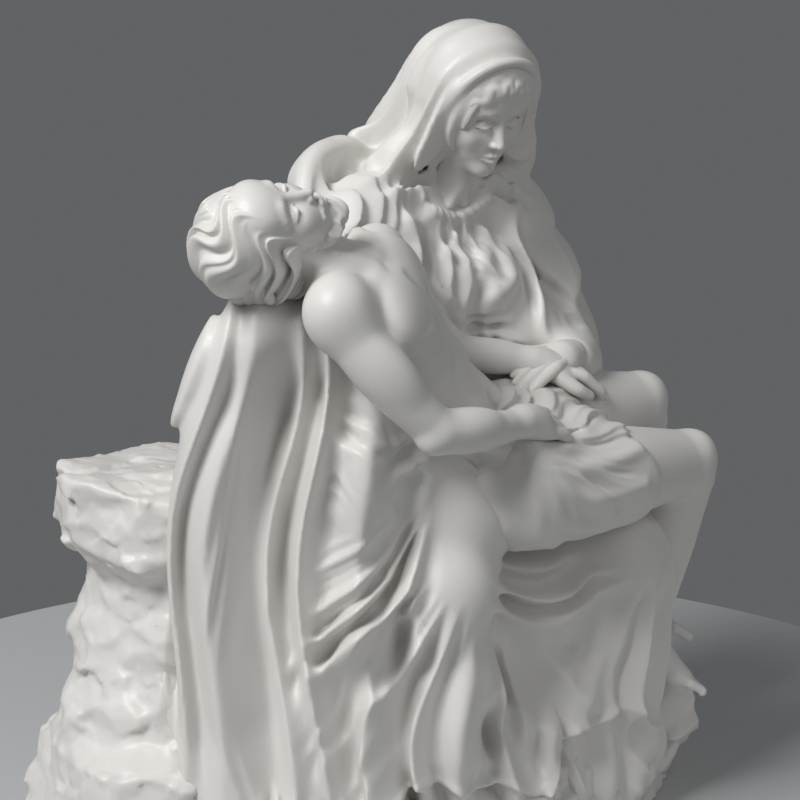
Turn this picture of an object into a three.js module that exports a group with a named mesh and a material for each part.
// A pieta: a seated, veiled mother with her son laid across her lap, on a rough rock seat, cast in
// one piece. The group is carved on a grid of distances, form by form, and then given a skin of
// triangles, which is thinned to the facets that its shape needs.
import * as THREE from 'three';
import { edgeTable, triTable } from 'three/addons/objects/MarchingCubes.js';

// Driving dimensions, in millimetres
const HEIGHT = 300; // underside of the rock to the top of the veil
const BASE_HEIGHT = 17; // the rock floor that the group sits on
const BASE_WIDTH = 262;
const BASE_DEPTH = 168;
const SEAT_HEIGHT = 145; // underside to the top of the bare rock beside the mother
const CELL = 2.3; // size of the grid on which the forms are carved
const TRIANGLES = 9600; // how many facets the finished skin keeps

// The figures are measured in modules, hundredths of the group's own height, from the rock floor up.
// X runs to the viewer's right, Y away from the viewer, Z up.
const MODULE = (HEIGHT - BASE_HEIGHT) / 100;
const FLOOR = -BASE_HEIGHT / MODULE;
const STEP = CELL / MODULE;
const FAR = 6; // the greatest distance that the grid keeps
const REACH = 2.5; // how far round a form its distances are written

// Vectors
const add = (a, b) => [a[0] + b[0], a[1] + b[1], a[2] + b[2]];
const sub = (a, b) => [a[0] - b[0], a[1] - b[1], a[2] - b[2]];
const scale = (a, s) => [a[0] * s, a[1] * s, a[2] * s];
const dot = (a, b) => a[0] * b[0] + a[1] * b[1] + a[2] * b[2];
const cross = (a, b) => [a[1] * b[2] - a[2] * b[1], a[2] * b[0] - a[0] * b[2], a[0] * b[1] - a[1] * b[0]];
const unit = (a) => scale(a, 1 / hypot(...a));
const mix = (a, b, t) => a.map((v, i) => v + (b[i] - v) * t);
const { lerp, clamp, degToRad } = THREE.MathUtils;
const { sin, cos, abs, sqrt, atan2, hypot, PI } = Math;
// A soft step from 0 to 1
const ease = (t) => {
  const u = clamp(t, 0, 1);
  return u * u * (3 - 2 * u);
};
// A slow, smooth wandering between about -1 and 1, which changes over the span
function drift(x, y, z, span, seed) {
  const k = (2 * PI) / span;
  const waves = sin(k * (x + 0.6 * y) + seed) + sin(k * (0.8 * y - 0.7 * z) + 1.7 * seed + 2);
  return (waves + sin(k * (0.9 * z + 0.5 * x) + 2.3 * seed + 4)) / 2;
}
// A fixed scatter between -1 and 1, the same at each run
const scatter = (seed) => {
  const s = sin(seed * 12.9898) * 43758.5453;
  return (s - Math.floor(s)) * 2 - 1;
};
const evenly = (count, from, to) => Array.from({ length: count }, (_, i) => lerp(from, to, i / (count - 1)));

// A frame of three axes: side, front and top, with top kept and front made square to it
const UPRIGHT = [[1, 0, 0], [0, 1, 0], [0, 0, 1]];
function frame(origin, top, front) {
  const t = unit(top);
  const f = unit(sub(front, scale(t, dot(front, t))));
  return { origin, axes: [cross(f, t), f, t] };
}
const place = (f, [a, b, c], size = 1) =>
  f.axes.reduce((p, axis, i) => add(p, scale(axis, [a, b, c][i] * size)), f.origin);
const within = (f, [x, y, z]) => f.axes.map((axis) => dot(axis, sub([x, y, z], f.origin)));

// Forms: each has a box and a distance, negative inside
function egg(centre, radii, axes = UPRIGHT) {
  const half = [0, 1, 2].map((i) => hypot(...axes.map((axis, k) => axis[i] * radii[k])));
  const rows = axes.map((axis, k) => scale(axis, 1 / radii[k]));
  return {
    box: [sub(centre, half), add(centre, half)],
    at(x, y, z) {
      let near = 0;
      let slope = 0;
      for (let k = 0; k < 3; k++) {
        const q = (x - centre[0]) * rows[k][0] + (y - centre[1]) * rows[k][1] + (z - centre[2]) * rows[k][2];
        near += q * q;
        slope += (q * q) / (radii[k] * radii[k]);
      }
      const k0 = sqrt(near);
      return (k0 * (k0 - 1)) / sqrt(slope + 1e-9);
    },
  };
}

// A limb, a fold or a lock of hair: a tapering round rope through the given points
function rope(points, radii, steps = 6) {
  const curve = new THREE.CatmullRomCurve3(points.map((p) => new THREE.Vector3(...p)), false, 'catmullrom');
  const count = (points.length - 1) * steps;
  const knots = evenly(count + 1, 0, 1).map((t) => {
    const k = Math.min(Math.floor(t * (points.length - 1)), points.length - 2);
    const r = typeof radii === 'number' ? radii : lerp(radii[k], radii[k + 1], t * (points.length - 1) - k);
    return { p: curve.getPoint(t).toArray(), r };
  });
  const edge = (pick, sign) => [0, 1, 2].map((i) => pick(...knots.map(({ p, r }) => p[i] + sign * r)));
  const spans = knots.slice(1).map((b, i) => {
    const a = knots[i];
    const d = sub(b.p, a.p);
    return { a: a.p, d, dd: dot(d, d) + 1e-9, r: a.r, dr: b.r - a.r };
  });
  return {
    box: [edge(Math.min, -1), edge(Math.max, 1)],
    at(x, y, z) {
      let best = 1e9;
      for (const { a, d, dd, r, dr } of spans) {
        const px = x - a[0];
        const py = y - a[1];
        const pz = z - a[2];
        const t = Math.max(0, Math.min(1, (px * d[0] + py * d[1] + pz * d[2]) / dd));
        const qx = px - d[0] * t;
        const qy = py - d[1] * t;
        const qz = pz - d[2] * t;
        best = Math.min(best, sqrt(qx * qx + qy * qy + qz * qz) - r - dr * t);
      }
      return best;
    },
  };
}

// A hewn block: a convex body of chisel planes, tier by tier round an upright axis
function hewn(centre, half, { sides = 11, tiers = [-35, 8, 48], rough = 0.09, seed = 1 } = {}) {
  const planes = [];
  tiers.forEach((tilt, k) => {
    const count = Math.max(5, Math.round(sides * cos(degToRad(tilt))));
    for (let i = 0; i < count; i++) {
      const id = seed * 97 + k * 31 + i;
      const turn = ((i + 0.5 * scatter(id + 0.3)) / count) * 2 * PI;
      const lift = degToRad(tilt + 9 * scatter(id + 0.7));
      const n = [cos(turn) * cos(lift), sin(turn) * cos(lift), sin(lift)];
      const reach = hypot(n[0] * half[0], n[1] * half[1], n[2] * half[2]);
      planes.push({ n, h: reach * (1 + rough * scatter(id)) });
    }
  });
  planes.push({ n: [0.02, -0.03, 1], h: half[2] * 0.93 }, { n: [0, 0, -1], h: half[2] });
  return {
    box: [sub(centre, scale(half, 1.2)), add(centre, scale(half, 1.2))],
    at(x, y, z) {
      let far = -1e9;
      for (const { n, h } of planes)
        far = Math.max(far, (x - centre[0]) * n[0] + (y - centre[1]) * n[1] + (z - centre[2]) * n[2] - h);
      return far;
    },
  };
}

// The smaller of two distances, rounded over where they are nearly the same
function soften(a, b, k) {
  const h = Math.max(k - abs(a - b), 0) / Math.max(k, 1e-6);
  return Math.min(a, b) - (h * h * k) / 4;
}

// The block that is carved: a grid of distances, large enough for the base and for the figures
const MARGIN = 2;
const ROOM = 5; // round the base
const FIGURES_LOW = [-53, -39];
const FIGURES_HIGH = [50, 33, 104];
const wide = BASE_WIDTH / 2 / MODULE + ROOM;
const deep = BASE_DEPTH / 2 / MODULE + ROOM;
const LOW = [Math.min(-wide, FIGURES_LOW[0]), Math.min(-deep, FIGURES_LOW[1]), FLOOR - STEP * 1.5];
const HIGH = [Math.max(wide, FIGURES_HIGH[0]), Math.max(deep, FIGURES_HIGH[1]), FIGURES_HIGH[2]];
const COUNT = LOW.map((v, i) => Math.ceil((HIGH[i] - v) / STEP + MARGIN));
const cellAt = (i, j, k) => i + COUNT[0] * (j + COUNT[1] * k);
class Block {
  values = new Float32Array(COUNT[0] * COUNT[1] * COUNT[2]).fill(FAR);

  // Rewrites the distances in a box: change(old distance, x, y, z)
  each(low, high, change) {
    const a = low.map((v, i) => clamp(Math.floor((v - LOW[i]) / STEP), 0, COUNT[i]));
    const b = high.map((v, i) => clamp(Math.ceil((v - LOW[i]) / STEP) + 1, 0, COUNT[i]));
    for (let k = a[2]; k < b[2]; k++)
      for (let j = a[1]; j < b[1]; j++)
        for (let i = a[0]; i < b[0]; i++) {
          const c = cellAt(i, j, k);
          this.values[c] = change(this.values[c], LOW[0] + i * STEP, LOW[1] + j * STEP, LOW[2] + k * STEP);
        }
  }
  // Adds a form, with a seam that is rounded over the given width
  add({ box, at }, seam = 1) {
    const m = seam / 2 + REACH;
    const [low, high] = [box[0].map((v) => v - m), box[1].map((v) => v + m)];
    this.each(low, high, (d, x, y, z) => soften(d, at(x, y, z), seam));
  }
  cut({ box, at }, seam = 1) {
    const m = seam / 2 + REACH;
    const [low, high] = [box[0].map((v) => v - m), box[1].map((v) => v + m)];
    this.each(low, high, (d, x, y, z) => -soften(-d, at(x, y, z), seam));
  }
  // Calls change(old distance, share, x, y, z) inside an egg, with a share that fades out at its rim
  inside({ centre, radii, fade = 0.35 }, change) {
    this.each(sub(centre, radii), add(centre, radii), (d, x, y, z) => {
      const r = hypot((x - centre[0]) / radii[0], (y - centre[1]) / radii[1], (z - centre[2]) / radii[2]);
      return r < 1 ? change(d, ease((1 - r) / fade), x, y, z) : d;
    });
  }
  // Raises folds on what is there where across(x, y, z) passes a whole number: sharp crests, or round
  // tubes with sharp valleys
  ripple(where, height, across, { seed = 0, soft = 0.06, tube, wander = 0.16, gain = () => 1 } = {}) {
    this.inside(where, (d, share, x, y, z) => {
      const even = across(x, y, z);
      const u = even + wander * sin(2.3 * even + seed);
      const wave = sqrt(sin(PI * u) ** 2 + soft);
      const uneven = 1 + 0.28 * sin(1.7 * u + 2 * seed + 1);
      const rise = tube ? wave * uneven - 0.62 : (1.05 - wave) * uneven - 0.35;
      return d - height * share * gain(x, y, z) * rise;
    });
  }
  // Raises one side of a line by a cloth's thickness, with a rolled edge where side(x, y, z) turns positive
  layer(where, height, side, { width = 0.9, lip = 0.5 } = {}) {
    this.inside(where, (d, share, x, y, z) => {
      const v = side(x, y, z);
      const rolled = lip * Math.exp(-(((v - width) / (1.1 * width)) ** 2));
      return d - share * (height * ease(v / width + 0.5) + rolled);
    });
  }
  // Rubs the surface smooth
  rub(times) {
    for (let pass = 0; pass < times; pass++)
      [1, COUNT[0], COUNT[0] * COUNT[1]].forEach((stride) => {
        const old = this.values.slice();
        for (let c = stride; c < old.length - stride; c++)
          this.values[c] = 0.25 * old[c - stride] + 0.5 * old[c] + 0.25 * old[c + stride];
      });
  }
  join(other, seam) {
    this.values.forEach((d, c) => (this.values[c] = soften(d, other.values[c], seam)));
  }
}

// The rock: a low floor, an hourglass stump at the left, the seat behind, and a ledge under the feet
function rock(block) {
  const w = BASE_WIDTH / 2 / MODULE;
  const d = BASE_DEPTH / 2 / MODULE;
  const drop = BASE_HEIGHT / MODULE;
  const top = (SEAT_HEIGHT - BASE_HEIGHT) / MODULE;
  const floor = { sides: 21, tiers: [0, 30], rough: 0.035, seed: 3 };
  block.add(hewn([0, 0, -drop * 0.2], [w, d, drop * 1.5], floor), 0.2);
  // its foot flares out to the edge of the base
  block.add(hewn([18.3 - w, 4, 3], [19.5, 19, 15], { sides: 13, seed: 5 }));
  const waist = { sides: 10, tiers: [-14, 12], rough: 0.06, seed: 8 };
  block.add(hewn([-29, 5, top * 0.45], [11.3, 12, top * 0.6], waist));
  const skirt = { tiers: [10, 40], rough: 0.07, seed: 9 };
  block.add(hewn([16.3 - w, 5, top * 0.2], [15.5, 15, top * 0.3], skirt), 1.5);
  const slab = { sides: 12, tiers: [-40, 5], rough: 0.06, seed: 11 };
  block.add(hewn([-29, 5, top - 6.5], [13.8, 13.2, 7], slab), 0.6);
  block.add(hewn([8, 13, 15], [25, 13, 17], { rough: 0.08, seed: 14 }));
  block.add(hewn([w - 15.3, -9, 3.5], [14.5, 14, 10], { sides: 12, rough: 0.1, seed: 17 }), 0.6);
  block.add(hewn([w - 13.3, 6, 2], [12.5, 13, 8], { rough: 0.12, seed: 21 }), 0.6);
}

// The mother, seated: her body and the large masses of her gown and mantle
function motherBody(block) {
  block.add(egg([8, 3, 36], [17, 13, 11]), 3);
  block.add(egg([8, -0.5, 51], [10.2, 8.4, 9]), 4);
  block.add(egg([8, 0, 63.5], [11.5, 8.4, 13]), 4);
  block.add(rope([[-4, 1, 74.5], [8, 1, 76.5], [19.5, 1, 72.5]], [5.8, 5.2, 5.8]), 3);
  for (const side of [-1, 1]) block.add(egg([8 + side * 4.8, -6, 65.5], [4.6, 3.6, 4.7]), 2.6);
  // thighs and shins under the cloth
  block.add(rope([[1, 0, 34], [-4, -12, 33], [-8, -22, 32.5]], [10, 9, 7.4]), 3);
  block.add(rope([[15, 0, 34], [20, -11, 31.5], [23, -20.5, 30.5]], [10, 8.8, 7.2]), 3);
  block.add(rope([[-8, -22, 30], [-9, -22.5, 15], [-9, -21, 2]], [6.8, 5.4, 5.2]), 3);
  block.add(rope([[23, -20.5, 28], [22, -20.5, 15], [20, -19, 2]], [6.6, 5.2, 5.2]), 3);
  block.add(egg([8, -14.5, 14], [16, 9, 17]), 5);
  block.add(egg([7, -13, 27], [15, 11, 8]), 5);
  // the gown round her feet, down to the rock
  block.add(egg([6, -16, 1], [28, 12.6, 9]), 4);
  block.add(egg([7, -17, 7], [18, 9.5, 11]), 4);
  // the mantle behind, down to the seat and the rock
  block.add(egg([8, 7, 48], [14, 7.4, 30]), 4);
  block.add(egg([7, 10, 22], [20, 10, 22]), 4);
}

// Her arms in the mantle, and the cloth that hangs from them
function motherArms(block) {
  block.add(rope([[-4, 1, 75], [-12, 3, 66], [-16.5, -0.5, 60]], [6, 6, 5.4]), 3);
  block.add(rope([[-16.5, -0.5, 60], [-22, -7, 64], [-27.5, -11.5, 67.5]], [5.4, 4.4, 3.2]), 2.5);
  block.add(rope([[19.5, 1, 73], [26, 0.5, 63.5], [27, -3.5, 55.5]], [6, 5.6, 5.2]), 3);
  block.add(rope([[27, -3.5, 55.5], [24, -10, 55], [21, -13.5, 55.5]], [5.2, 4.2, 3.4]), 2);
  block.add(egg([19, 0, 55], [8, 6.5, 9]), 4);
  block.add(egg([17.5, -6, 58.5], [5.5, 5, 5.5]), 3);
  // turned up behind the right shoulder
  block.add(egg([-5, 3, 80], [7.5, 2.4, 4.5]), 2.5);
  block.add(rope([[3, 5, 82], [-1, 4, 84], [-9.5, 1.5, 83], [-13, -1, 76], [-13, -2.5, 68]],
    [1.8, 1.3, 1.4, 1.8, 2.6]), 2);
  block.cut(egg([-4.5, 0, 81], [4, 2, 2.6]), 1.5);
  block.add(rope([[-5, -2, 79], [-8, -3.5, 74], [-8.5, -2, 66], [-8, 1, 60]], [1.5, 1.6, 1.8, 1.4]), 2.5);
  // over the left side of the seat
  block.add(rope([[27, -1, 53], [29.5, 3, 36], [30, 5, 10]], [5, 6.4, 7.5]), 3);
  block.add(rope([[26, -9, 51], [27, -8, 42], [28, -6, 34]], [3.5, 4.5, 5]), 3);
  // bunched under the son's back and waist
  block.add(rope([[-3, -13, 44], [-8, -17, 48], [-15, -16, 56]], [8, 7.4, 6]), 3);
  block.add(egg([-3, -22, 41], [8, 6, 6]), 3);
  block.add(egg([-18.5, -18.5, 49.5], [6, 4.8, 8]), 2.5);
  block.add(rope([[-22, -16.5, 56], [-23, -16, 34], [-24, -16.5, 6]], [3, 4.8, 6.5]), 3);
  block.add(egg([-22, -12, 12], [9, 9, 16]), 3);
  block.add(rope([[-31, -9, 16], [-32, -12, 8], [-30, -17, 3]], [5.5, 5.5, 3.5]), 3);
  block.add(egg([-2, -8, 58], [5, 5, 6]), 3);
  block.add(egg([-27, -17, 2], [11, 7.5, 4]), 3);
  block.add(egg([-16, -24, 1], [10, 5.5, 3]), 2.5);
  // the curtain, from her forearm down to the rock
  block.add(rope([[-10, -12, 52], [-18, -15, 60], [-26, -14.5, 66]], [6.5, 5.8, 4]), 3);
  block.add(egg([-18, -7, 40], [11, 8, 27]), 4);
  block.add(rope([[-20, -14, 66], [-29, -13, 66], [-33.5, -10.5, 58], [-33, -9.5, 40], [-31.5, -10, 22]],
    [4, 4.2, 3.6, 4.6, 5.5]), 3);
  block.add(rope([[-16, 0, 58], [-22, -4, 52], [-26.5, -5, 38], [-28, -6, 16]], [5, 6.5, 7, 7]), 4);
  block.add(rope([[-26, -12.5, 62], [-30, -9.5, 42], [-31, -9, 14]], [3, 4.8, 6.2]), 4);
  block.add(rope([[-14, -18, 52], [-16, -18, 32], [-18, -18, 4]], [4.8, 6, 7]), 4);
}

// Folds follow their supports: each family is one rising number, mostly an angle out of a point, and a
// slow drift keeps the folds from being alike. Angles are taken on a round about the mother's own axis.
const ROUND = 26; // modules of cloth to one radian of the round
const round = (x, y) => ROUND * atan2(x - 8, 4 - y);
const outOf = (h, z0) => (x, y, z) => atan2(round(x, y) - h, z0 - z);
const awayFrom = ([x0, y0, z0], radius) => (x, y, z) => ease(hypot(x - x0, y - y0, z - z0) / radius - 0.35);
function drapery(block) {
  // the gown, in close tubes down to the floor
  block.ripple({ centre: [5, -20, 2], radii: [36, 22, 14], fade: 0.3 }, 2.3,
    (x, y, z) => (round(x, y) + 2.2 * drift(x, y, z, 26, 1)) / 4.6, { seed: 1, tube: true });
  // the mantle: swags hung between the knees, and folds that spread below each knee
  const [kneeA, kneeB, aboveA, aboveB] = [outOf(-13, 38), outOf(14, 36), outOf(-12, 52), outOf(15, 46)];
  block.ripple({ centre: [5, -27, 22], radii: [17, 14, 16], fade: 0.5 }, 3,
    (x, y, z) => 2.5 * (kneeA(x, y, z) - kneeB(x, y, z)) + 0.35 * drift(x, y, z, 30, 3),
    { seed: 2, soft: 0.1, wander: 0.22 });
  const fallA = (x, y, z) => 8.5 * aboveA(x, y, z) + 0.55 * drift(x, y, z, 34, 4);
  block.ripple({ centre: [-17, -22, 18], radii: [13, 15, 28], fade: 0.4 }, 2.9, fallA,
    { seed: 3, soft: 0.12, wander: 0.22, gain: awayFrom([-9, -27, 34], 8) });
  block.ripple({ centre: [4, -27, 12], radii: [14, 14, 15], fade: 0.5 }, 1.8, fallA,
    { seed: 3, soft: 0.12, wander: 0.22 });
  block.ripple({ centre: [26, -19, 17], radii: [12, 15, 24], fade: 0.4 }, 3,
    (x, y, z) => 7.2 * aboveB(x, y, z) + 0.5 * drift(x, y, z, 34, 5),
    { seed: 4, soft: 0.1, wander: 0.22, gain: awayFrom([23, -26, 32], 7) });
  // its hem over the gown
  block.layer({ centre: [6, -20, 10], radii: [34, 20, 22] }, 1.2, (x, y, z) => {
    const h = round(x, y);
    return z - 8 - 0.12 * h - 2.4 * sin(0.32 * h) - 1.2 * sin(0.71 * h + 1);
  });
  // the curtain, crushed where it meets the lap and pooled on the rock
  block.ripple({ centre: [-24, -10, 34], radii: [20, 23, 46] }, 3,
    (x, y, z) => 20 * atan2(0.66 * x - 0.75 * y + 5 + 2.6 * drift(x, y, z, 50, 6), 145 - z),
    { seed: 5, soft: 0.08, wander: 0.25 });
  block.ripple({ centre: [-17, -19, 49], radii: [9, 9, 11], fade: 0.5 }, 1.9,
    (x, y, z) => 1.5 * drift(x, y, z, 21, 8), { seed: 15, soft: 0.08 });
  block.ripple({ centre: [-27, -19, 3], radii: [16, 13, 8], fade: 0.5 }, 1.8, (x, y, z) => {
    const out = hypot(x + 29, y + 12);
    return 3.2 * atan2(y + 12, x + 29) + 0.13 * out + 0.5 * drift(x, y, z, 16, 9);
  }, { seed: 17, soft: 0.1 });
  block.ripple({ centre: [-2, -24, 44], radii: [10, 9, 7], fade: 0.5 }, 1.2,
    (x, y, z) => 1.3 * drift(x, y, z, 17, 19), { seed: 18, soft: 0.08 });
  // the back and the left side
  block.ripple({ centre: [7, 14, 34], radii: [26, 13, 44] }, 2.8,
    (x, y, z) => 15 * atan2(x - 8 + 2 * drift(x, y, z, 40, 9), 118 - z), { seed: 6, tube: true });
  block.ripple({ centre: [33, 1, 26], radii: [9, 17, 30] }, 2.4,
    (x, y, z) => 14 * atan2(y - 0.5 * x + 16 + drift(x, y, z, 30, 10), 90 - z), { seed: 7, tube: true });
  // over the right shoulder
  block.ripple({ centre: [-6, -4, 72], radii: [14, 12, 13], fade: 0.5 }, 1.5,
    (x, y, z) => 7 * atan2(x + 0.5 * y + 3, 96 - z) + 0.6 * drift(x, y, z, 22, 16),
    { seed: 41, soft: 0.08 });
  // both sleeves
  block.ripple({ centre: [-13, -1, 66], radii: [16, 14, 15], fade: 0.6 }, 1.7,
    (x, y, z) => (x + 0.5 * y - 1.1 * z + 2.2 * drift(x, y, z, 24, 11)) / 5.6, { seed: 8, soft: 0.06 });
  block.ripple({ centre: [26, -1, 62], radii: [12, 13, 16], fade: 0.6 }, 1.9,
    (x, y, z) => (-0.5 * x + 0.8 * y - z + 2.2 * drift(x, y, z, 24, 12)) / 5.6, { seed: 9, soft: 0.06 });
  // the bodice: gathers from the neckline to the belt, and below it
  block.ripple({ centre: [8, -8, 67], radii: [9, 8, 12], fade: 0.4 }, 1.2,
    (x, y, z) => 5.6 * atan2(x - 8, 88 - z) + 0.8 * drift(x, y, z, 15, 13), { seed: 10, soft: 0.1 });
  block.ripple({ centre: [8, -9, 53], radii: [9, 8, 9] }, 1.2,
    (x, y, z) => (x + 0.025 * (x - 8) * (60 - z) + 0.6 * drift(x, y, z, 12, 15)) / 2.6, { seed: 11 });
  block.layer({ centre: [8, -7, 60], radii: [11, 8, 4.6] }, 0.8,
    (x, y, z) => 1.1 - abs(z - 59.5 + 0.04 * (x - 8) ** 2), { lip: 0 });
  // the mantle lies open over the breast, its edges falling from the hood over both arms
  block.layer({ centre: [8, -5, 68], radii: [30, 12, 20], fade: 0.4 }, 1.2,
    (x, y, z) => abs(x - 8) - 8.3 - 0.1 * (76 - z) - 0.8 * sin(0.5 * z));
}

// A head: skull, face, jaw, eyes, nose and lips in shares of its own height
function head(block, f, size) {
  const at = (a, b, c) => place(f, [a, b, c], size);
  const lump = (centre, radii) => egg(at(...centre), scale(radii, size), f.axes);
  block.add(lump([0, -0.07, 0.13], [0.325, 0.395, 0.36]), 0.05 * size);
  block.add(lump([0, 0.12, -0.15], [0.25, 0.235, 0.33]), 0.12 * size);
  block.add(lump([0, 0.2, 0.2], [0.24, 0.13, 0.17]), 0.12 * size);
  block.add(lump([0, 0.255, -0.425], [0.085, 0.075, 0.075]), 0.1 * size);
  for (const side of [-1, 1]) {
    block.cut(lump([side * 0.14, 0.4, 0], [0.1, 0.085, 0.06]), 0.1 * size);
    block.add(lump([side * 0.135, 0.255, -0.005], [0.07, 0.06, 0.055]), 0.03 * size);
    block.add(lump([side * 0.16, 0.2, -0.12], [0.08, 0.09, 0.09]), 0.1 * size);
  }
  const line = (points, radii) => rope(points.map((p) => at(...p)), radii.map((r) => r * size));
  block.add(line([[0, 0.3, 0.08], [0, 0.36, -0.05], [0, 0.395, -0.15]], [0.036, 0.042, 0.056]), 0.06 * size);
  const mouth = [[-0.085, 0.3, -0.285], [0, 0.35, -0.28], [0.085, 0.3, -0.285]];
  block.add(line(mouth, [0.03, 0.036, 0.03]), 0.05 * size);
}

const MOTHER_HEAD = 16; // height of her bare head
const motherFrame = frame([9, -8.5, 89.6], [-0.04, -0.4, 0.9], [-0.08, -0.86, -0.5]);
function motherHead(block) {
  const size = MOTHER_HEAD;
  const at = (a, b, c) => place(motherFrame, [a, b, c], size);
  const lump = (centre, radii) => egg(at(...centre), scale(radii, size), motherFrame.axes);
  // the hood of the mantle and its fall to the shoulders
  block.add(lump([0, -0.12, 0.06], [0.465, 0.53, 0.52]), 2);
  block.add(rope([at(0, -0.3, 0.1), [8, 3, 82], [8, 6, 70]], [0.4 * size, 7.4, 9]), 3);
  for (const side of [-1, 1])
    block.add(rope([at(side * 0.33, 0.02, 0.2), at(side * 0.43, -0.02, -0.25), at(side * 0.55, -0.12, -0.72),
      [8 + side * 11, -3.2, 73.5]], [2.2, 2.4, 2.8, 3.4]), 2);
  block.ripple({ centre: [8.5, -1, 84], radii: [15, 13, 20], fade: 0.5 }, 0.8, (x, y, z) => {
    const [a, b, c] = within(motherFrame, [x, y, z]);
    return 2.2 * atan2(a, 3 - b) + 0.02 * c + 0.2 * drift(x, y, z, 26, 3);
  }, { seed: 21 });
  // folds beside the face, none on the crown
  const shares = (x, y, z) => scale(within(motherFrame, [x, y, z]), 1 / size);
  block.ripple({ centre: [8.5, -2, 85], radii: [17, 14, 20], fade: 0.4 }, 1.4, (x, y, z) => {
    const [a, b, c] = shares(x, y, z);
    return 4.3 * atan2(hypot(a, 0.6 * (c + 0.1)), b - 0.05) + 0.5 * drift(x, y, z, 26, 4);
  }, { seed: 23, soft: 0.12, gain: (x, y, z) => {
    const [a, , c] = shares(x, y, z);
    return ease(1.5 - 2.2 * c) * ease(3.5 * abs(a) - 0.2);
  } });
  // its opening, with a rolled edge, then the neck, the face and the edge of the under veil
  block.cut(lump([0, 0.42, -0.2], [0.31, 0.42, 0.58]), 0.7);
  block.cut(egg([8, -8.5, 79], [4.4, 4.2, 4.4]), 1.2);
  block.add(rope([[8, -0.5, 76], at(0, -0.08, -0.25)], [4, 3.4]), 1.5);
  const ring = (turn, a, b0, b, c0, c) => at(a * sin(turn), b0 + b * cos(turn), c0 + c * cos(turn));
  block.add(rope(evenly(13, -2.3, 2.3).map((t) => ring(t, 0.41, 0.12, 0.13, 0.03, 0.48)), 0.8, 2), 0.9);
  head(block, motherFrame, size);
  block.add(rope(evenly(11, -1.9, 1.9).map((t) => ring(t, 0.335, 0.1, 0.14, -0.03, 0.43)), 1, 2), 0.5);
}

// The son's trunk, lying back across her lap: a frame with its top at the neck, its front at the chest
const trunk = frame([-13.5, -19, 65], [-0.652, 0.052, 0.757], [0.5, -0.66, 0.55]);
const NEAR_SHOULDER = [-25, -24.3, 69.8];
const FAR_SHOULDER = [-8.3, -9.8, 72.6];
function sonTrunk(block) {
  const at = (a, b, c) => place(trunk, [a, b, c]);
  const line = (points, radii) => rope(points.map((p) => at(...p)), radii);
  block.add(egg(at(0, 0, 0), [9.2, 6.4, 11], trunk.axes), 0.6);
  block.add(egg(at(0, -0.8, -13), [7.1, 5.2, 8.5], trunk.axes), 4);
  block.add(egg([4, -19.5, 45.5], [8.8, 6.6, 7.4], trunk.axes), 4);
  block.add(rope([NEAR_SHOULDER, at(0, -0.6, 9), FAR_SHOULDER], [3.2, 4, 3.2]), 3);
  for (const side of [-1, 1]) {
    // breast muscle, collar bone, arch of the ribs, and the line under the breast
    block.add(egg(at(side * 4.6, 4.1, 4.2), [5, 2.6, 4.6], trunk.axes), 2.6);
    const collar = [[side * 0.9, 3.9, 9.3], [side * 5, 3, 9.6], [side * 9.4, 1.4, 8.6]];
    block.add(line(collar, [0.7, 0.75, 0.9]), 1.1);
    const arch = [[side * 0.3, 6.9, -2.4], [side * 3.4, 6.4, -5.8], [side * 7.2, 4, -9.5]];
    block.cut(line(arch, [0.6, 0.9, 0.7]), 1.6);
    const under = [[side * 1.2, 7, 0.2], [side * 4.6, 6.8, -0.6], [side * 8.4, 4.6, 1.2]];
    block.cut(line(under, [0.4, 0.6, 0.5]), 1.4);
  }
  block.cut(line([[0, 7.1, 5.5], [0, 7.1, 0], [0, 5.5, -8], [0, 4.9, -15]], [0.6, 0.5, 0.5, 0.5]), 1.2);
}

// A hand from the wrist: palm, fingers held together in two pairs, and thumb, bent by the given share
function hand(block, origin, toward, back, size, bend, thumbSide) {
  const f = frame(origin, toward, back);
  const at = (a, b, c) => place(f, [a, b, c], size);
  const line = (points, radii) => rope(points.map((p) => at(...p)), radii.map((r) => r * size), 3);
  block.add(line([[0, 0, -0.05], [0, 0, 0.25]], [0.27, 0.3]), 0.3 * size);
  block.add(egg(at(0, 0, 0.45), scale([0.4, 0.17, 0.48], size), f.axes), 0.2 * size);
  for (const side of [-1, 1]) {
    const a = side * 0.2;
    const pair = [[a, -0.02, 0.7], [a, -0.25 * bend, 1.1], [0.8 * a, -0.8 * bend, 1.38]];
    block.add(line(pair, [0.24, 0.22, 0.18]), 0.1 * size);
  }
  const t = thumbSide;
  const thumb = [[t * 0.25, -0.05, 0.2], [t * 0.57, -0.15, 0.6], [t * 0.52, -0.22, 0.9]];
  block.add(line(thumb, [0.2, 0.18, 0.15]), 0.1 * size);
}

// A foot from the ankle: heel, instep and the wedge of the toes
function foot(block, origin, toward, up, size) {
  const f = frame(origin, up, toward);
  const at = (a, b, c) => place(f, [a, b, c], size);
  block.add(egg(at(0, -0.16, -0.26), scale([0.16, 0.2, 0.19], size), f.axes), 0.2 * size);
  const instep = [at(0, 0, -0.05), at(0, 0.3, -0.22), at(0, 0.62, -0.37)];
  block.add(rope(instep, scale([0.18, 0.17, 0.13], size), 3), 0.15 * size);
  block.add(egg(at(0, 0.6, -0.39), scale([0.2, 0.24, 0.1], size), f.axes), 0.1 * size);
  block.add(egg(at(-0.02, 0.84, -0.41), scale([0.23, 0.2, 0.09], size), f.axes), 0.12 * size);
}

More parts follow.
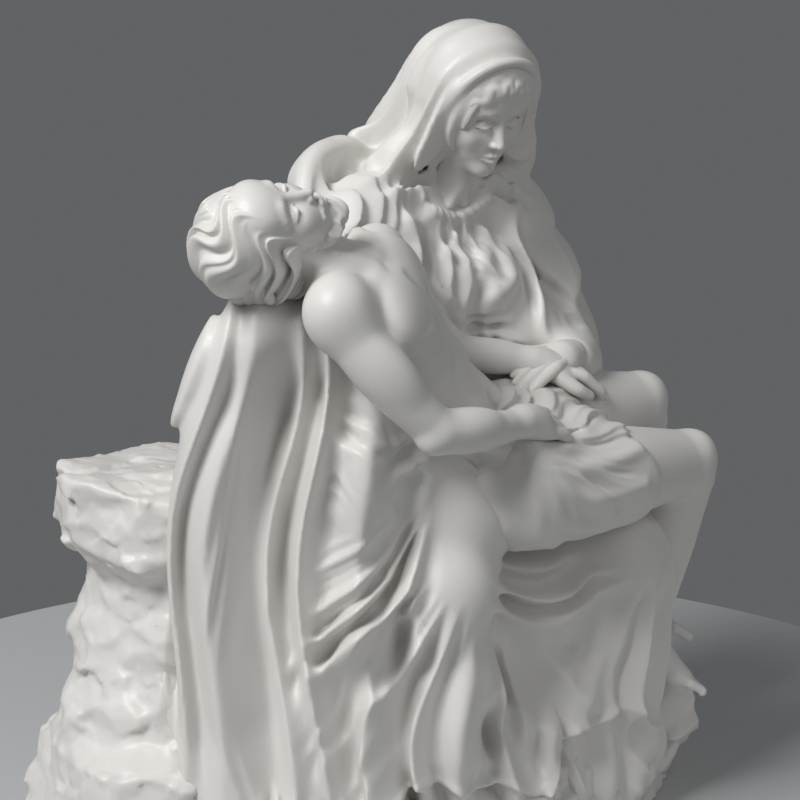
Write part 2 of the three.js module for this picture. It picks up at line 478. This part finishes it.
const ELBOW = [-15, -30.2, 55.2];
const WRIST = [0, -28.8, 53.8];
const FAR_ELBOW = [4.5, -9.5, 58];
const FAR_WRIST = [14, -15.5, 56.5];
function sonLimbs(block) {
  // thighs and shins, with knee caps and calves
  block.add(rope([[3, -24.5, 44], [17, -25.5, 43.5], [30.5, -24.8, 42.5]], [7.2, 6.2, 4.3]), 2);
  block.add(rope([[8, -14.5, 47], [21, -13.5, 48], [33, -13, 47.8]], [7, 6, 4.3]), 2);
  block.add(egg([32.2, -25.6, 43.4], [2.9, 2.9, 3.2]), 1.5);
  block.add(egg([34.7, -13.6, 48.6], [2.9, 2.9, 3.2]), 1.5);
  block.add(rope([[31.2, -24.8, 41], [29.4, -23.4, 32], [26.4, -23.6, 20]], [3.8, 3.5, 2.2]), 1.2);
  block.add(rope([[33.6, -13, 46], [34, -11.2, 36], [34, -12.5, 23]], [3.8, 3.5, 2.2]), 1.2);
  block.add(egg([28.2, -21.2, 34], [3.2, 3.1, 6.8]), 2);
  block.add(egg([32.6, -9.6, 38.4], [3.2, 3.1, 6.8]), 2);
  foot(block, [26.4, -23.6, 19.6], [0.82, -0.36, -0.46], [0.45, -0.1, 1], 11.2);
  foot(block, [34.2, -12.6, 22.5], [0.85, -0.2, -0.5], [0.5, 0, 1], 11.2);
  // near arm bent over the waist, far arm along the body
  block.add(egg(add(NEAR_SHOULDER, [0.3, 0, -0.5]), [4, 3.9, 4.7]), 2);
  block.add(rope([NEAR_SHOULDER, [-21.3, -27.6, 62.5], ELBOW], [3.6, 3.3, 2.7]), 1.2);
  block.add(rope([ELBOW, [-8, -30.2, 54.2], WRIST], [2.7, 2.6, 1.7]), 0.8);
  block.add(rope([FAR_SHOULDER, [-2, -8, 65], FAR_ELBOW], [3.6, 3.2, 2.6]), 1.2);
  block.add(rope([FAR_ELBOW, [9.5, -12.5, 57.5], FAR_WRIST], [2.6, 2.4, 1.7]), 0.8);
  hand(block, WRIST, [0.92, 0.2, -0.28], [0.2, -0.5, 0.84], 6.8, 0.45, 1);
  hand(block, FAR_WRIST, [0.88, -0.3, -0.3], [0.3, -0.25, 0.92], 6.6, 0.35, -1);
}

const SON_HEAD = 15.4; // height of his bare head
const sonFrame = frame([-29.3, -16.8, 78.6], [-0.965, 0.03, 0.2], [0.12, -0.58, 0.8]);
function sonHead(block) {
  const size = SON_HEAD;
  const at = (a, b, c) => place(sonFrame, [a, b, c], size);
  // the mass of hair, in locks swept back round both sides, then the face and a short beard
  const hair = new Block();
  hair.add(egg(at(0, -0.13, 0.14), scale([0.39, 0.43, 0.405], size), sonFrame.axes));
  hair.add(egg(at(0, -0.28, -0.2), scale([0.34, 0.24, 0.32], size), sonFrame.axes), 2.5);
  hair.ripple({ centre: at(0, -0.1, 0), radii: [12, 12, 12], fade: 0.1 }, 1.1, (x, y, z) => {
    const [a, b, c] = scale(within(sonFrame, [x, y, z]), 1 / size);
    return 2.7 * atan2(a, c + 0.38) + 0.4 * sin(9.5 * b + 2.5 * a);
  }, { seed: 6, tube: true });
  block.join(hair, 0.6);
  block.add(rope([at(0, -0.05, -0.2), place(trunk, [0, -0.4, 9.5])], [3.4, 3.9]), 1.8);
  head(block, sonFrame, size);
  const side = [[0.23, 0, -0.22], [0.15, 0.19, -0.42]];
  const jaw = [...side.map(([a, b, c]) => [-a, b, c]), [0, 0.25, -0.5], ...side.reverse()];
  block.add(rope(jaw.map((p) => at(...p)), [0.7, 1, 1.25, 1, 0.7]), 0.8);
}

// A cloth wrapped round the hips and gathered under his hand
const GATHER = [-4.5, -28, 50]; // the place that its folds run out of
function loincloth(block) {
  block.add(egg([5.5, -19.8, 46.6], [9.6, 9, 7], trunk.axes));
  block.add(rope([[6, -26, 45.5], [13, -27.5, 45], [17.5, -27, 44.3]], [7.2, 7.1, 6.4]), 2);
  block.add(rope([[9, -15, 47], [15, -14.5, 48]], [7.2, 6.9]), 2);
  block.add(rope([[9, -21, 50], [13, -21, 49.5], [17, -22, 46]], [4, 4, 3]), 3);
  block.ripple({ centre: [8, -22, 46], radii: [16, 14, 12], fade: 0.4 }, 1.5, (x, y, z) => {
    const rise = 0.55 * (y - GATHER[1]) + 0.8 * (z - GATHER[2]) + 1.1 * drift(x, y, z, 14, 5);
    return 4.4 * atan2(rise, x - GATHER[0]);
  }, { seed: 31, gain: awayFrom(GATHER, 9) });
}

function motherHands(block) {
  block.add(rope([[23, -12.5, 55.3], [18, -15.5, 56.5]], [2.4, 1.9]), 0.5);
  hand(block, [19, -15.2, 57], [-0.9, -0.2, 0], [0.05, -0.4, 0.92], 6.2, 0.55, -1);
  hand(block, [-26.5, -12.5, 69], [-0.75, -0.55, 0.35], [-0.35, -0.35, -0.85], 6.4, 0.35, 1);
}

// The whole group: the mother on her rock, then the son, who is carved by himself and laid on her lap
function carving() {
  const block = new Block();
  rock(block);
  motherBody(block);
  motherArms(block);
  block.rub(1);
  drapery(block);
  motherHead(block);
  const son = new Block();
  sonTrunk(son);
  sonLimbs(son);
  son.rub(1);
  sonHead(son);
  const cloth = new Block();
  loincloth(cloth);
  son.join(cloth, 0.3);
  block.join(son, 0.5);
  motherHands(block);
  // the underside is sawn flat
  block.each(LOW, HIGH, (d, x, y, z) => Math.max(d, FLOOR - z));
  return block.values;
}

// The triangle skin, by marching cubes on the grid
function skin(values) {
  const square = [[0, 0], [1, 0], [1, 1], [0, 1]];
  const corners = [0, 1].flatMap((level) => square.map(([a, b]) => [a, b, level]));
  const rim = [[0, 1], [1, 2], [3, 2], [0, 3]];
  const edges = [...rim, ...rim.map(([a, b]) => [a + 4, b + 4]), ...square.map((_, i) => [i, i + 4])];
  const points = [];
  const known = new Map();
  const faces = [];
  for (let k = 0; k < COUNT[2] - 1; k++)
    for (let j = 0; j < COUNT[1] - 1; j++)
      for (let i = 0; i < COUNT[0] - 1; i++) {
        let code = 0;
        corners.forEach(([x, y, z], c) => {
          if (values[cellAt(i + x, j + y, k + z)] < 0) code |= 1 << c;
        });
        if (!edgeTable[code]) continue;
        const on = edges.map(([p, q], e) => {
          if (!(edgeTable[code] & (1 << e))) return -1;
          const [cp, cq] = [corners[p], corners[q]];
          const ip = cellAt(i + cp[0], j + cp[1], k + cp[2]);
          const iq = cellAt(i + cq[0], j + cq[1], k + cq[2]);
          const key = ip * 3 + (iq - ip === 1 ? 0 : iq - ip === COUNT[0] ? 1 : 2);
          if (!known.has(key)) {
            const t = clamp(values[ip] / (values[ip] - values[iq]), 0.04, 0.96);
            const grid = mix([i + cp[0], j + cp[1], k + cp[2]], [i + cq[0], j + cq[1], k + cq[2]], t);
            known.set(key, points.length);
            points.push(grid.map((v, m) => LOW[m] + v * STEP));
          }
          return known.get(key);
        });
        for (let t = code * 16; triTable[t] !== -1; t += 3)
          faces.push([on[triTable[t]], on[triTable[t + 2]], on[triTable[t + 1]]]);
      }
  return { points, faces };
}

// Keeps the largest closed surface, without stray crumbs or sealed pockets
function wholeBody({ points, faces }) {
  const root = points.map((_, i) => i);
  const find = (i) => {
    while (root[i] !== i) {
      root[i] = root[root[i]];
      i = root[i];
    }
    return i;
  };
  for (const [a, b, c] of faces) {
    root[find(a)] = find(b);
    root[find(b)] = find(c);
  }
  const sizes = new Map();
  for (const [a] of faces) sizes.set(find(a), (sizes.get(find(a)) ?? 0) + 1);
  const main = [...sizes].sort((x, y) => y[1] - x[1])[0][0];
  return { points, faces: faces.filter(([a]) => find(a) === main) };
}

// Thins the skin by edge collapses, cheapest first. The cost of a point is its squared distance to the
// planes that it stands for, and a little of its distance to the points that it stands for, which keeps
// the facets even. Faces and hands count for more than cloth and rock.
const EVENNESS = 0.006;
const MOST_FACETS = 10; // round one point
const MOST_COST = 1e4; // beyond which a blocked collapse is given up
const cared = [
  [place(motherFrame, [0, 5, -1]), 7, 9],
  [place(sonFrame, [0, 1, 0]), 9, 5],
  [[18, -16, 56], 6, 3],
  [[4, -28, 53], 6, 3],
  [[33, -20, 12], 9, 2],
  [[-13, -22, 62], 14, 1.5],
  [[30, -19, 38], 12, 1.2],
];
const care = (p) =>
  1 + Math.max(...cared.map(([at, reach, more]) => more * ease(2 - hypot(...sub(p, at)) / reach)));
function thinned({ points, faces }, target) {
  const around = points.map(() => new Set());
  const quadric = points.map(() => new Float64Array(10));
  faces.forEach((face, id) => {
    const [a, b, c] = face.map((i) => points[i]);
    const normal = cross(sub(b, a), sub(c, a));
    const area = hypot(...normal) / 2;
    const [x, y, z] = scale(normal, 1 / Math.max(2 * area, 1e-12));
    const w = -dot([x, y, z], a);
    const plane = [x * x, x * y, x * z, x * w, y * y, y * z, y * w, z * z, z * w, w * w];
    for (const i of face) {
      around[i].add(id);
      const p = points[i];
      const point = [1, 0, 0, -p[0], 1, 0, -p[1], 1, -p[2], dot(p, p)];
      const weight = area * care(p);
      plane.forEach((v, k) => (quadric[i][k] += weight * (v + EVENNESS * point[k])));
    }
  });
  const sum = (a, b) => quadric[a].map((v, k) => v + quadric[b][k]);
  const cost = (q, [x, y, z]) =>
    q[0] * x * x + q[4] * y * y + q[7] * z * z + q[9] +
    2 * (q[1] * x * y + q[2] * x * z + q[3] * x + q[5] * y * z + q[6] * y + q[8] * z);
  function best(a, b) {
    const q = sum(a, b);
    const mid = mix(points[a], points[b], 0.5);
    const m = new THREE.Matrix3().set(q[0], q[1], q[2], q[1], q[4], q[5], q[2], q[5], q[7]);
    const p = new THREE.Vector3(-q[3], -q[6], -q[8]).applyMatrix3(m.invert()).toArray();
    const at = hypot(...sub(p, mid)) < hypot(...sub(points[a], points[b])) ? p : mid;
    return { at, cost: cost(q, at) };
  }
  const heap = [];
  const push = (item) => {
    let i = heap.push(item) - 1;
    while (i > 0 && heap[(i - 1) >> 1].cost > item.cost) {
      heap[i] = heap[(i - 1) >> 1];
      i = (i - 1) >> 1;
    }
    heap[i] = item;
  };
  const pop = () => {
    const top = heap[0];
    const last = heap.pop();
    let i = 0;
    while (heap.length) {
      let c = 2 * i + 1;
      if (c >= heap.length) break;
      if (c + 1 < heap.length && heap[c + 1].cost < heap[c].cost) c++;
      if (heap[c].cost >= last.cost) break;
      heap[i] = heap[c];
      i = c;
    }
    if (heap.length) heap[i] = last;
    return top;
  };
  const age = new Int32Array(points.length);
  const offer = (a, b) => push({ a, b, ages: [age[a], age[b]], ...best(a, b) });
  for (const [a, b, c] of faces) for (const [p, q] of [[a, b], [b, c], [c, a]]) if (p < q) offer(p, q);
  const ring = (v) => new Set([...around[v]].flatMap((id) => faces[id]).filter((i) => i !== v));
  const normalOf = (face, v, at) => {
    const [a, b, c] = face.map((i) => (i === v ? at : points[i]));
    return cross(sub(b, a), sub(c, a));
  };
  // A collapse may not pinch the surface, turn a facet over or leave a sliver
  function allowed(a, b, at) {
    const other = ring(b);
    if ([...ring(a)].filter((i) => other.has(i)).length !== 2) return false;
    if (around[a].size + around[b].size - 4 > MOST_FACETS) return false;
    for (const v of [a, b])
      for (const id of around[v]) {
        const face = faces[id];
        if (face.includes(a) && face.includes(b)) continue;
        const before = normalOf(face, -1);
        const after = normalOf(face, v, at);
        const size = hypot(...after);
        if (dot(before, after) < 0.35 * hypot(...before) * size) return false;
        const ends = face.map((i) => (i === v ? at : points[i]));
        const longest = Math.max(...ends.map((p, k) => hypot(...sub(p, ends[(k + 1) % 3]))));
        if (size < 0.08 * longest * longest) return false;
      }
    return true;
  }
  let left = faces.length;
  while (left > target && heap.length) {
    const item = pop();
    const { a, b, ages, at } = item;
    if (ages[0] !== age[a] || ages[1] !== age[b]) continue;
    if (!allowed(a, b, at)) {
      // it waits for its surroundings to change
      if (item.cost < MOST_COST) push({ ...item, cost: item.cost * 2 });
      continue;
    }
    quadric[a] = sum(a, b);
    points[a] = at;
    for (const id of [...around[b]]) {
      if (faces[id].includes(a)) {
        for (const i of faces[id]) around[i].delete(id);
        faces[id] = null;
        left--;
      } else {
        faces[id] = faces[id].map((i) => (i === b ? a : i));
        around[a].add(id);
      }
    }
    age[a]++;
    age[b]++;
    for (const i of ring(a)) offer(a, i);
  }
  return { points, faces: faces.filter(Boolean) };
}

function geometryOf({ points, faces }) {
  const used = new Map();
  const position = [];
  const index = faces.flat().map((i) => {
    if (!used.has(i)) {
      used.set(i, used.size);
      const [x, y, z] = points[i];
      // the underside is flat, and the top of the veil at the full height
      const level = abs(z - FLOOR) < 0.2 * STEP ? FLOOR : z;
      position.push(x * MODULE, y * MODULE, Math.min(level * MODULE + BASE_HEIGHT, HEIGHT));
    }
    return used.get(i);
  });
  const geometry = new THREE.BufferGeometry();
  geometry.setAttribute('position', new THREE.Float32BufferAttribute(position, 3));
  geometry.setIndex(index);
  geometry.computeVertexNormals();
  return geometry;
}

const whiteCast = new THREE.MeshStandardMaterial({ color: 0xe9e8e5, roughness: 0.45, metalness: 0 });
whiteCast.flatShading = true;
const cast = new THREE.Mesh(geometryOf(thinned(wholeBody(skin(carving())), TRIANGLES)), whiteCast);
cast.name = 'pieta_cast';
const group = new THREE.Group();
group.add(cast);

export default group;
